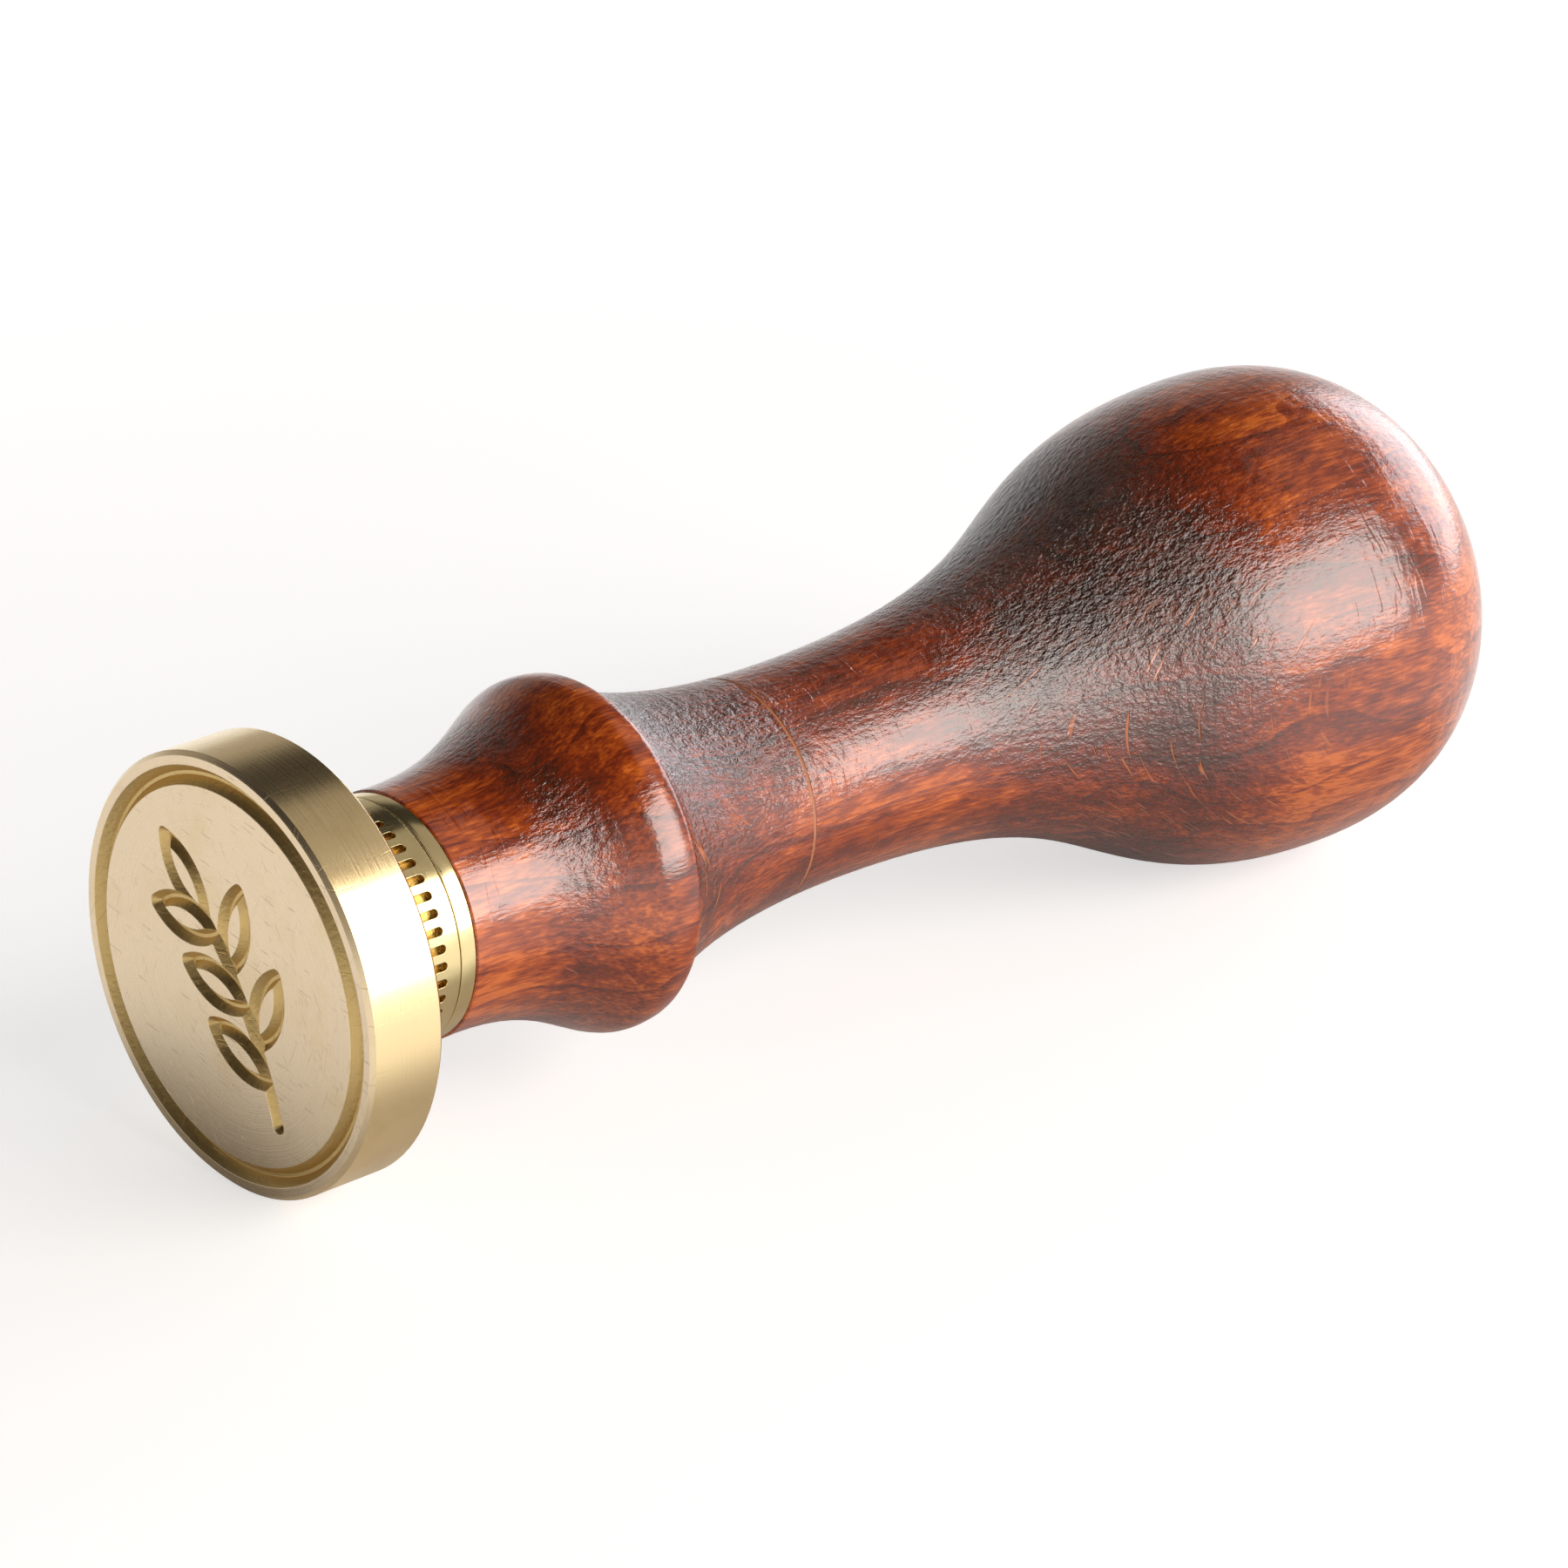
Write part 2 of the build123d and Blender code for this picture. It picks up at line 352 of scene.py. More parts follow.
def turn_on_lathe(name, outline, segments, shape=None):
    """A closed mesh from (station, radius) rows, which run from axis to axis or in a loop round a bore."""
    stations, radii = (column[:, None] for column in np.array(outline).T)
    angles = np.linspace(0, 2 * math.pi, segments, endpoint=False)[None, :]
    reach = shape(stations, radii, angles) if shape else radii + 0 * angles
    spoke = np.cos(angles)[..., None] * np.array(side) + np.sin(angles)[..., None] * np.array(lift)
    points = np.array(die_centre) + stations[..., None] * np.array(along) + reach[..., None] * spoke
    rings = len(outline)
    last_gap = rings if outline[0][1] > 0 else rings - 1
    form = bmesh.new()
    corners = [form.verts.new(point) for point in points.reshape(-1, 3)]
    for ring in range(last_gap):
        here = ring * segments
        beyond = (ring + 1) % rings * segments
        for step in range(segments):
            onward = (step + 1) % segments
            quad = (here + step, here + onward, beyond + onward, beyond + step)
            form.faces.new([corners[index] for index in quad])
    bmesh.ops.remove_doubles(form, verts=form.verts, dist=MERGE_GAP)
    bmesh.ops.recalc_face_normals(form, faces=form.faces)
    mesh = bpy.data.meshes.new(name)
    form.to_mesh(mesh)
    form.free()
    mesh.shade_smooth()
    mesh.set_sharp_from_angle(angle=SHARP_EDGE)
    piece = bpy.data.objects.new(name, mesh)
    bpy.context.scene.collection.objects.link(piece)
    return piece


print(f"edges sharper than {math.degrees(SHARP_EDGE):.0f} degrees stay crisp")


# %% A smooth line
def smooth_line(points, step):
    """Rows every step along a smooth curve through the given rows, each with its neighbours' slope."""
    gaps = np.linalg.norm(np.diff(points, axis=0), axis=1)
    travel = np.concatenate([[0], np.cumsum(gaps)])
    slope = np.gradient(points, travel, axis=0)
    at = np.linspace(0, travel[-1], int(travel[-1] / step) + 1)
    left = np.clip(np.searchsorted(travel, at, side="right") - 1, 0, len(gaps) - 1)
    span = gaps[left][:, None]
    t = ((at - travel[left]) / gaps[left])[:, None]
    start = (1 + 2 * t) * (1 - t) ** 2 * points[left] + t * (1 - t) ** 2 * span * slope[left]
    end = t ** 2 * (3 - 2 * t) * points[left + 1] - t ** 2 * (1 - t) * span * slope[left + 1]
    return start + end


arch = smooth_line(np.array([(0.0, 0.0), (1.0, 1.0), (2.0, 0.0)]), 0.5)
print("a smooth arch through three rows:", arch.round(2).tolist())

# %% [markdown]
# ## The handle's outline
# The CAD handle already has the right outline, but its facets are too coarse for a gloss that mirrors a
# softbox. Its vertices are measured on the axis instead, and a smooth line is drawn through them. Three
# places stay crisp, as the turner left them: the broken edge at the brass end, the scored line on the
# neck, cut with the point of a skew chisel, and the hole that was drilled for the stud.

# %% Measure the outline
ROW_GAP = 0.04 * MM
HOLE_MARGIN = 0.1 * MM
METRE_DIGITS = 7

stations, radii = on_lathe("handle")
wood_start, wood_end = stations.min(), stations.max()
hole_radius = radii[stations < wood_start + SAME].min()
hole_end = stations[abs(radii - hole_radius) < SAME].max()
drill_point = stations[radii < SAME].min()
is_skin = (radii > hole_radius + HOLE_MARGIN) | (stations > drill_point + HOLE_MARGIN)
measured = np.unique(np.round(np.stack([stations, radii], axis=1)[is_skin], METRE_DIGITS), axis=0)
kept = [measured[0]]
for row in measured[1:]:
    if np.linalg.norm(row - kept[-1]) > ROW_GAP:
        kept.append(row)
skin = np.array(kept)
print(f"{len(skin)} rows measured on the wood; hole {2 * hole_radius / MM:.2f} mm wide,",
      f"{(hole_end - wood_start) / MM:.1f} mm deep")

# %% Draw the outline
# The scored line is the sharpest dip in the narrow part of the outline. Lacquer has partly filled it.
OUTLINE_STEP = 0.2 * MM
SCORE_MARGIN = 0.02 * MM
SCORE_SEARCH = 0.6
SCORE_FILL = 0.35

dip = skin[1:-1, 1] - (skin[:-2, 1] + skin[2:, 1]) / 2
score = 1 + int(np.argmin(np.where(skin[1:-1, 0] < wood_end * SCORE_SEARCH, dip, 0)))
score_rows = skin[score - 1:score + 2]
edge_row = skin[0]
line = smooth_line(np.delete(skin, [0, score], axis=0), OUTLINE_STEP)
line[-1] = (wood_end, 0)
score_place = score_rows[1, 0]
before = line[line[:, 0] < score_rows[0, 0] - SCORE_MARGIN]
after = line[line[:, 0] > score_rows[2, 0] + SCORE_MARGIN]
hole_rows = [(drill_point, 0), (hole_end, hole_radius), (wood_start, hole_radius), edge_row]
score_rows[1, 1] += SCORE_FILL * (score_rows[[0, 2], 1].mean() - score_rows[1, 1])
handle_outline = np.concatenate([hole_rows, before, score_rows, after])
print(f"{len(handle_outline)} rings; belly {2 * line[:, 1].max() / MM:.2f} mm wide,",
      f"scored line {(score_place - wood_start) / MM:.2f} mm from the brass end")

# %% [markdown]
# ## Lacquered beech
# The handle is beech: a pale, even hardwood with short ray flecks, stained red-brown and dipped in clear
# lacquer. Where the outline slopes, the cut runs across the fibres. That end grain drinks more stain, so
# it goes nearly black, and its open pores keep the lacquer rough. Where the outline runs with the grain
# the wood stays a clear orange-red and the lacquer lies smooth. Both could be painted on an image. Here
# one ramp along the handle says how much end grain shows at each station, and it drives the colour and
# the lacquer's crinkle together.

# %% Where the end grain shows
# Facing runs from -1, straight down, to 1, straight up.
UPPER_FACING = (-0.3, 0.7)
# Painted shade: how much the stain soaks in on the underside and on top, so that the upper side is darker.
UNDERSIDE_SHADE_SOAK, TOP_SHADE_SOAK = 0.42, 0.74
# The scored line's paleness is partly its own lighter wood and partly a painted highlight.
SCORE_PALE_EDGE = (0.13 * MM, 0.08 * MM)
SCORE_PALENESS = 0.9

beech, tree, surface = new_material("beech_stained_and_lacquered")
place = add(tree, "ShaderNodeTexCoord")


def along_axis(tree, place):
    """Outputs for a point's offset from the die's centre and its station along the axis, in metres."""
    from_die = add(tree, "ShaderNodeVectorMath", {0: place.outputs["Object"]}, {1: tuple(die_centre)},
                   operation="SUBTRACT").outputs[0]
    station = add(tree, "ShaderNodeVectorMath", {0: from_die}, {1: tuple(along)}, operation="DOT_PRODUCT")
    return from_die, station.outputs["Value"]


station = along_axis(tree, place)[1]
share = add(tree, "ShaderNodeMapRange", {"Value": station},
            {"From Min": float(wood_start), "From Max": float(wood_end)})
# Black is long grain and white is end grain. From the brass end: the flare and its slope, the bead, the
# cove, the neck, the long slope of the bulb, and the belly with its dome.
end_grain = add(tree, "ShaderNodeValToRGB", {"Fac": share.outputs["Result"]},
                stops=[(0.0, "101010"), (0.055, "2C2C2C"), (0.085, "949494"), (0.1, "949494"),
                       (0.13, "080808"), (0.165, "000000"),
                       (0.19, "ACACAC"), (0.29, "ACACAC"),
                       (0.34, "787878"), (0.45, "686868"),
                       (0.55, "D8D8D8"), (0.66, "D8D8D8"),
                       (0.74, "585858"), (0.88, "444444"), (1.0, "707070")]).outputs["Color"]
facing_up = add(tree, "ShaderNodeVectorMath", {0: place.outputs["Normal"]}, {1: tuple(lift)},
                operation="DOT_PRODUCT").outputs["Value"]
# Painted shade: the upper side is stained darker than the side below it, in place of the dimmer light on
# top.
painted_top_shade = add(tree, "ShaderNodeMapRange", {"Value": facing_up},
            {"From Min": UPPER_FACING[0], "From Max": UPPER_FACING[1],
             "To Min": UNDERSIDE_SHADE_SOAK, "To Max": TOP_SHADE_SOAK}).outputs["Result"]
from_score = add(tree, "ShaderNodeMath", {0: station}, {1: float(score_place)}, operation="SUBTRACT")
from_score = add(tree, "ShaderNodeMath", {0: from_score.outputs[0]}, operation="ABSOLUTE")
scored_tone_and_highlight = add(tree, "ShaderNodeMapRange", {"Value": from_score.outputs[0]},
             {"From Min": SCORE_PALE_EDGE[0], "From Max": SCORE_PALE_EDGE[1],
              "To Min": 0.0, "To Max": SCORE_PALENESS}).outputs["Result"]
print(f"end grain ramp over {(wood_end - wood_start) / MM:.1f} mm of wood")

# %% [markdown]
# ## Fibres, rings and rays
# Wood is not one pattern but several of different sizes, all stretched along the tree: fibres a fraction
# of a millimetre wide, mottled patches, year rings some millimetres wide, and the rays of a beech, thin
# plates that the chisel cuts into short pale flecks. Each is a noise whose size is given in real
# millimetres along the grain and across it. The fibres are drawn several times coarser than real ones, so
# that they show.

# %% The wood's patterns
RING_WIDTH = 3.2
RING_WANDER = 2.2
LATE_WOOD = (0.9, 0.97)


def grain_noise(x, y, z, detail, roughness=0.5):
    """Noise in the beech, with features of this size in millimetres along the grain and across it."""
    stretched = add(tree, "ShaderNodeMapping", {"Vector": place.outputs["Object"]},
                    {"Scale": (x * MM, y * MM, z * MM)}, vector_type="TEXTURE")
    return add(tree, "ShaderNodeTexNoise", {"Vector": stretched.outputs["Vector"]},
               {"Scale": 1.0, "Detail": detail, "Roughness": roughness}).outputs["Fac"]


blotches = grain_noise(14, 5, 5, detail=2)
mottle = grain_noise(2.4, 0.8, 0.8, detail=2)
fibres = grain_noise(1.5, 0.17, 0.17, detail=2)

height = add(tree, "ShaderNodeSeparateXYZ", {"Vector": place.outputs["Object"]}).outputs["Z"]
year = add(tree, "ShaderNodeMath", {0: height}, {1: 1 / (RING_WIDTH * MM)}, operation="MULTIPLY")
year = add(tree, "ShaderNodeMath", {0: grain_noise(18, 5, 5, detail=1), 2: year.outputs[0]},
           {1: RING_WANDER}, operation="MULTIPLY_ADD")
season = add(tree, "ShaderNodeMath", {0: year.outputs[0]}, operation="FRACT").outputs[0]
late_wood = add(tree, "ShaderNodeMapRange", {"Value": season},
                {"From Min": LATE_WOOD[0], "From Max": LATE_WOOD[1]}).outputs["Result"]
print("rings", RING_WIDTH, "mm wide;", len(tree.nodes), "nodes so far")

# %% The rays
# Rays show as flecks in patches, where the surface slopes and on the sides rather than on top. Each pair
# is where a pattern starts to count and where it counts in full.
RAY_PATCHES = (0.42, 0.52)
RAY_SLOPES = (0.12, 0.3)
RAY_SIDES = (0.75, 0.45)
RAY_CUTS = (0.71, 0.75)

ray_patch = add(tree, "ShaderNodeMapRange", {"Value": grain_noise(9, 6, 6, detail=1)},
                {"From Min": RAY_PATCHES[0], "From Max": RAY_PATCHES[1]}).outputs["Result"]
facing_along = add(tree, "ShaderNodeVectorMath", {0: place.outputs["Normal"]}, {1: tuple(along)},
                   operation="DOT_PRODUCT")
facing_along = add(tree, "ShaderNodeMath", {0: facing_along.outputs["Value"]}, operation="ABSOLUTE")
sloped = add(tree, "ShaderNodeMapRange", {"Value": facing_along.outputs[0]},
             {"From Min": RAY_SLOPES[0], "From Max": RAY_SLOPES[1]}).outputs["Result"]
sideways = add(tree, "ShaderNodeMapRange", {"Value": facing_up},
               {"From Min": RAY_SIDES[0], "From Max": RAY_SIDES[1]}).outputs["Result"]
ray_flecks = add(tree, "ShaderNodeMapRange", {"Value": grain_noise(2.4, 0.1, 2.8, detail=0)},
                 {"From Min": RAY_CUTS[0], "From Max": RAY_CUTS[1]}).outputs["Result"]
for limit in (ray_patch, sloped, sideways):
    ray_flecks = add(tree, "ShaderNodeMath", {0: ray_flecks, 1: limit}, operation="MULTIPLY").outputs[0]
print("with rays:", len(tree.nodes), "nodes")

# %% [markdown]
# ## Stain
# Stain is a dye: a little of it leaves orange wood, and more of it gives an ever darker brown. So the
# patterns are first added up to one number, how much stain soaked in, and one ramp then turns that into
# colour. The alternative, mixing a colour for each pattern, soon goes muddy. Flecks were closed to the
# stain, and stay paler. The scored line stays paler too: partly its own lighter wood, partly a painted
# highlight.

# %% The wood's colour
LEAST_SOAK = 0.12
FLECK_PALENESS = 0.8
# Each pattern, its middle value, and how strongly it changes the soak.
SOAKS = (
    (blotches, 0.5, 0.8),
    (season, 0.5, 0.07),
    (late_wood, 0.0, 0.12),
    (mottle, 0.5, 0.6),
    (fibres, 0.5, 0.7),
    # The last pattern is painted shade: the top is stained darker still.
    (painted_top_shade, UNDERSIDE_SHADE_SOAK, 0.3),
)
# The end grain's soak is scaled by the painted shade, so it is darkest on top.
soak = add(tree, "ShaderNodeMath", {0: end_grain, 1: painted_top_shade}, {2: LEAST_SOAK}, operation="MULTIPLY_ADD")
for pattern, middle, weight in SOAKS:
    even = add(tree, "ShaderNodeMath", {0: pattern}, {1: middle}, operation="SUBTRACT")
    soak = add(tree, "ShaderNodeMath", {0: even.outputs[0], 2: soak.outputs[0]}, {1: weight},
               operation="MULTIPLY_ADD")
stain = add(tree, "ShaderNodeValToRGB", {"Fac": soak.outputs[0]},
            stops=[(0.0, "C36221"), (0.15, "9A4210"), (0.35, "6F260B"), (0.57, "4C1E0B"), (0.85, "2E140B")])
pale_flecks = add(tree, "ShaderNodeMath", {0: ray_flecks}, {1: FLECK_PALENESS}, operation="MULTIPLY")
wood_colour = add(tree, "ShaderNodeMix", {0: pale_flecks.outputs[0], 6: stain.outputs["Color"]},
                  {7: colour("B6622E")}, data_type="RGBA")
# Partly a painted highlight: the scored line is mixed towards a pale pink-brown all round.
wood_colour = add(tree, "ShaderNodeMix", {0: scored_tone_and_highlight, 6: wood_colour.outputs[2]}, {7: colour("C3855F")},
                  data_type="RGBA")
print("stain from", len(SOAKS) + 1, "patterns")

# %% [markdown]
# ## Lacquer
# A thin dip of clear lacquer dries to a gloss that follows what is under it. Over long grain it lies
# almost flat, with the faint orange peel of a dipped coat. Over end grain it sinks into the pores and
# dries crinkled, most of all on top, and breaks each highlight into glints. All of it is height in
# millimetres for one bump.

# %% The lacquer
# Clear lacquer on dark wood gives the eye white lights over deep colour. A typical lacquer has an IOR of
# 1.5 and a roughness of 0.1. Matched to this stamp, it is glossier than that and a little less sharp.
LACQUER_IOR = 1.55
LACQUER_ROUGHNESS = 0.18
LACQUER_GLOSS = 0.88
OPEN_GRAIN = (0.02, 0.6)
CRINKLE_HEIGHT = (0.014, 0.15)
SEALED_SHARE = 0.8
DRY_FACING = (0.45, 0.8)
DRY_CRINKLE = 1.9
FIBRE_HEIGHT = 0.014
RIPPLE_PATCHES = (0.62, 0.76)
RIPPLE_HEIGHT = 0.011
PEEL_HEIGHT = 0.03

openness = add(tree, "ShaderNodeMapRange", {"Value": end_grain},
               {"From Min": OPEN_GRAIN[0], "From Max": OPEN_GRAIN[1],
                "To Min": CRINKLE_HEIGHT[0], "To Max": CRINKLE_HEIGHT[1]}).outputs["Result"]
closed = add(tree, "ShaderNodeMath", {0: ray_flecks, 1: scored_tone_and_highlight}, operation="MAXIMUM")
closed = add(tree, "ShaderNodeMath", {0: closed.outputs[0]}, {1: -SEALED_SHARE, 2: 1.0},
             operation="MULTIPLY_ADD").outputs[0]
drier = add(tree, "ShaderNodeMapRange", {"Value": facing_up},
            {"From Min": DRY_FACING[0], "From Max": DRY_FACING[1],
             "To Min": 1.0, "To Max": DRY_CRINKLE}).outputs["Result"]
crinkle = grain_noise(0.6, 0.34, 0.34, detail=3, roughness=0.66)
for factor in (openness, closed, drier):
    crinkle = add(tree, "ShaderNodeMath", {0: crinkle, 1: factor}, operation="MULTIPLY").outputs[0]
coat = add(tree, "ShaderNodeMath", {0: fibres, 2: crinkle}, {1: FIBRE_HEIGHT}, operation="MULTIPLY_ADD")
ripples = add(tree, "ShaderNodeMapRange", {"Value": grain_noise(0.4, 1.8, 1.8, detail=0)},
              {"From Min": RIPPLE_PATCHES[0], "From Max": RIPPLE_PATCHES[1],
               "To Min": 0.0, "To Max": RIPPLE_HEIGHT},
              interpolation_type="SMOOTHSTEP")
coat = add(tree, "ShaderNodeMath", {0: ripples.outputs["Result"], 1: ray_patch, 2: coat.outputs[0]},
           operation="MULTIPLY_ADD")
coat = add(tree, "ShaderNodeMath", {0: grain_noise(1.6, 1.2, 1.2, detail=1), 2: coat.outputs[0]},
           {1: PEEL_HEIGHT}, operation="MULTIPLY_ADD")
relief = add(tree, "ShaderNodeBump", {"Height": coat.outputs[0]}, {"Strength": 1.0, "Distance": MM})
lacquer = add(tree, "ShaderNodeBsdfPrincipled",
              {"Base Color": wood_colour.outputs[2], "Normal": relief.outputs["Normal"]},
              {"Roughness": LACQUER_ROUGHNESS, "IOR": LACQUER_IOR, "Specular IOR Level": LACQUER_GLOSS})
tree.links.new(lacquer.outputs["BSDF"], surface.inputs["Surface"])
print(beech.name, "has", len(tree.nodes), "nodes")

# %% [markdown]
# ## The turned handle
# A hand tool never leaves a perfect surface. The chisel leaves faint ridges round the wood and the
# sandpaper slow waves, a hundredth of a millimetre or two deep, and a gloss shows both as a slight wobble
# in each highlight. They are cut into the mesh itself, always inwards, so that the handle stays inside
# its CAD outline. The thin end at the brass is left true, because it has to seat on the collar.

# %% Turn the handle
HANDLE_SEGMENTS = 256
RIDGE_PITCH = 0.8 * MM
RIDGE_DEPTH = 0.01 * MM
RIDGE_DRIFT, RIDGE_WOBBLE = 0.31, 1.5
WAVE_DEPTH = 0.02 * MM
WAVES_ROUND = (3, 5)
WAVE_TWISTS = (7 * MM, 4 * MM)
TRUE_RADIUS = 5 * MM


def chisel_marks(stations, radii, angles):
    """Radii with the fine ridges and the slow waves that the chisel and the sandpaper leave."""
    turns = stations / RIDGE_PITCH * 2 * math.pi
    ridges = 0.5 + 0.5 * np.sin(turns + RIDGE_WOBBLE * np.sin(turns * RIDGE_DRIFT))
    broad_waves = np.sin(WAVES_ROUND[0] * angles + stations / WAVE_TWISTS[0])
    close_waves = np.sin(WAVES_ROUND[1] * angles - stations / WAVE_TWISTS[1])
    waves = 0.5 + 0.25 * (broad_waves + close_waves)
    marked = np.clip((radii - TRUE_RADIUS) / MM, 0, 1)
    return radii - marked * (RIDGE_DEPTH * ridges + WAVE_DEPTH * waves)


handle = turn_on_lathe("turned_handle", handle_outline, HANDLE_SEGMENTS, chisel_marks)
handle.data.materials.append(beech)
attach(handle, "handle")
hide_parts("handle")
print("handle:", len(handle.data.vertices), "vertices")

# %% [markdown]
# ## Turned brass
# The head is free-machining brass, turned bright and left bare. A tool in a lathe leaves fine circles on
# a face and fine rings on a wall, so both patterns follow one number: the distance from the axis plus the
# station along it. The circles spread each reflection across themselves, which is what anisotropy draws.
# What the engraving cutter or the reeding tool reached is duller than what the lathe left, and painted a
# little browner and darker there, as shade in those recesses. Some years in a drawer add short scratches.
# An image could hold all this, but a place on the stamp tells as much: how deep a point lies, and how far
# from the axis.

# %% Where each tool worked
WALL_TO_FACE = (0.3, 0.9)


def tool_zones(tree, place, cut_middle, cut_reach, cut_radius):
    """Outputs for a point's travel under the lathe tool, how much it is a face, and if a cutter met it."""
    from_die, station = along_axis(tree, place)
    swing = add(tree, "ShaderNodeVectorMath", {0: from_die}, {1: tuple(along)}, operation="CROSS_PRODUCT")
    radius = add(tree, "ShaderNodeVectorMath", {0: swing.outputs[0]}, operation="LENGTH").outputs["Value"]
    travel = add(tree, "ShaderNodeMath", {0: station, 1: radius}, operation="ADD")
    facing = add(tree, "ShaderNodeVectorMath", {0: place.outputs["Normal"]}, {1: tuple(along)},
                 operation="DOT_PRODUCT")
    flat = add(tree, "ShaderNodeMath", {0: facing.outputs["Value"]}, operation="ABSOLUTE")
    flat = add(tree, "ShaderNodeMapRange", {"Value": flat.outputs[0]},
               {"From Min": WALL_TO_FACE[0], "From Max": WALL_TO_FACE[1]})
    at_depth = add(tree, "ShaderNodeMath", {0: station}, {1: cut_middle, 2: cut_reach}, operation="COMPARE")
    inside = add(tree, "ShaderNodeMath", {0: radius}, {1: cut_radius}, operation="LESS_THAN")
    was_cut = add(tree, "ShaderNodeMath", {0: at_depth.outputs[0], 1: inside.outputs[0]},
                  operation="MULTIPLY")
    return travel.outputs[0], flat.outputs["Result"], was_cut.outputs[0]


print(f"brass counts as a wall up to {math.degrees(math.asin(WALL_TO_FACE[0])):.0f} degrees from the axis")

# %% Tool marks and scratches
# Real tool lines and scratches are some hundredths of a millimetre wide. Both are drawn a few times
# coarser than that, so that they show.
LINE_PITCH = 0.12
CHATTER_SIZE, CHATTER_HEIGHT = 0.3, 0.03
SCRATCH_WIDTH, SCRATCH_SPAN = 0.09, 3
# Each run of scratches, by its direction in degrees and its length in millimetres.
SCRATCH_RUNS = ((10, 1.8), (64, 1.2), (117, 2.4))
SCRATCH_CUTS = (0.78, 0.84)
WALL_SCRATCH, FACE_SCRATCH = -0.0015, -0.012


def tool_marks(tree, place, travel, flat, was_cut, line_depth):
    """Outputs for the lathe's lines, and for the height in millimetres of lines, chatter and scratches."""
    lines = add(tree, "ShaderNodeTexNoise", {"W": travel},
                {"Scale": 1 / (LINE_PITCH * MM), "Detail": 3.0, "Roughness": 0.65}, noise_dimensions="1D")
    chatter = add(tree, "ShaderNodeTexNoise", {"Vector": place.outputs["Object"]},
                  {"Scale": 1 / (CHATTER_SIZE * MM), "Detail": 2.0, "Roughness": 0.6})
    cut_height = add(tree, "ShaderNodeMath", {0: chatter.outputs["Fac"], 1: was_cut}, operation="MULTIPLY")
    height = add(tree, "ShaderNodeMath", {0: lines.outputs["Fac"]}, {1: line_depth}, operation="MULTIPLY")
    height = add(tree, "ShaderNodeMath", {0: cut_height.outputs[0], 2: height.outputs[0]},
                 {1: CHATTER_HEIGHT}, operation="MULTIPLY_ADD")
    depth = add(tree, "ShaderNodeMapRange", {"Value": flat},
                {"To Min": WALL_SCRATCH, "To Max": FACE_SCRATCH})
    for turn, length in SCRATCH_RUNS:
        swung = add(tree, "ShaderNodeMapping", {"Vector": place.outputs["Object"]},
                    {"Rotation": (math.radians(turn), 0, 0),
                     "Scale": (SCRATCH_SPAN * MM, length * MM, SCRATCH_WIDTH * MM)},
                    vector_type="TEXTURE")
        streaks = add(tree, "ShaderNodeTexNoise", {"Vector": swung.outputs["Vector"]},
                      {"Scale": 1.0, "Detail": 0.0})
        scratch = add(tree, "ShaderNodeMapRange", {"Value": streaks.outputs["Fac"]},
                      {"From Min": SCRATCH_CUTS[0], "From Max": SCRATCH_CUTS[1]})
        height = add(tree, "ShaderNodeMath",
                     {0: scratch.outputs["Result"], 1: depth.outputs["Result"], 2: height.outputs[0]},
                     operation="MULTIPLY_ADD")
    return lines.outputs["Fac"], height.outputs[0]


print("scratches up to", max(length for turn, length in SCRATCH_RUNS), "mm long")

# %% The brass
# Bare brass gives the eye a warm metal mirror: pale gold where it meets a lamp, olive where it meets the
# dark. It is fully metallic, with the default IOR, and its roughness is that of a fine turned finish.
HANDLING_SIZE = 3.5
TARNISH_PATCHES = (0.5, 0.8)
MOST_TARNISH = 0.35
CUT_DULLING = 0.14
EDGE_WEAR = 0.05 * MM
EDGE_SAMPLES = 4
TURNED_SPREAD = 0.58
# The noise of the lines averages a half, so another half keeps the mean polish as it is given.
LINES_TO_ONE = 0.5


